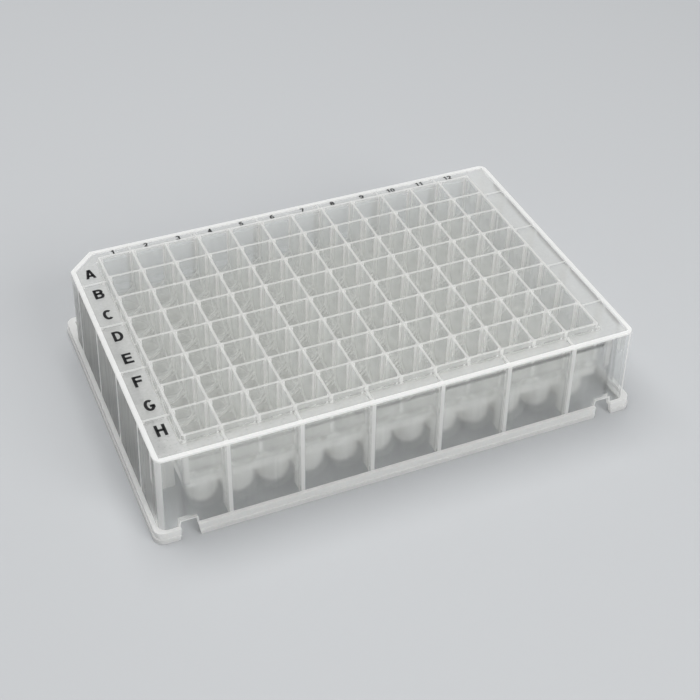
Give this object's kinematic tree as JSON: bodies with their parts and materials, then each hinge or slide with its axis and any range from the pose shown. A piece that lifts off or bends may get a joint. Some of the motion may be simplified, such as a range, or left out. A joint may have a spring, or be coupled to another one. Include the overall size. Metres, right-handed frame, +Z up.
{
  "type": "well plate",
  "caption": "Translucent deep-well plate with square-mouthed, round-bottomed wells in a ribbed skirt on a flanged foot; one corner is cut to show which way round it goes.",
  "frame": {"origin": "centre of the foot's bounding box, on the plane the foot stands on", "axes": "+X from column 1 to column 12, along the length; +Y from row H to row A, towards the numbered side; +Z up, out of the wells"},
  "size_m": [0.1278, 0.0854, 0.026],
  "materials": {
    "polypropylene": "natural translucent moulding, satin"
  },
  "bodies": {
    "root": {"plate": "polypropylene"}
  },
  "joints": []
}
